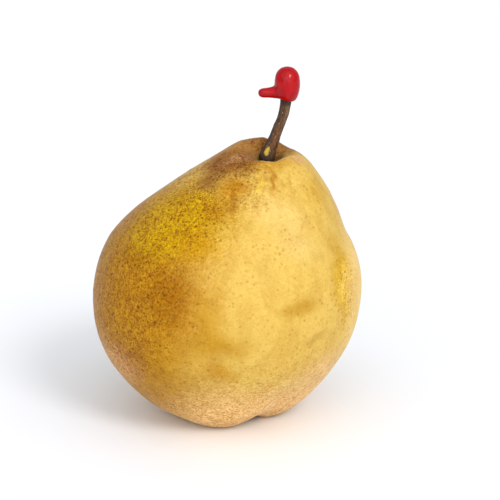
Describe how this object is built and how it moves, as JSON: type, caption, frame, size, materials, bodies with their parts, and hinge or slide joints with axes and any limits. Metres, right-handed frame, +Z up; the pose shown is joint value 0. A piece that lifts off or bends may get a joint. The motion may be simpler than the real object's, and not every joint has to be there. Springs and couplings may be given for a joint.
{
  "type": "pear",
  "caption": "Large round winter pear that stands on its lobed base and leans to one side, with a curved woody stem and a red wax seal with a set drip on the cut end.",
  "frame": {"origin": "on the floor plane, under the middle of the whole outline", "axes": "+Z up, +X towards the side the crown and stem lean to, -Y towards the front of the fruit"},
  "size_m": [0.0878, 0.0876, 0.1163],
  "materials": {
    "skin": "golden yellow fruit skin with russet, small dark lenticels and a soft waxy sheen",
    "stem_bark": "dry brown bark with fine lengthwise wrinkles",
    "sealing_wax": "glossy deep red wax, smooth, set from liquid",
    "dry_calyx": "brittle dark brown dried sepals and stamens"
  },
  "bodies": {
    "root": {"pear_body": "skin", "stem": "stem_bark", "wax_seal": "sealing_wax", "sepal_1": "dry_calyx", "sepal_2": "dry_calyx", "sepal_3": "dry_calyx", "sepal_4": "dry_calyx", "sepal_5": "dry_calyx", "stamens": "dry_calyx"}
  },
  "joints": []
}
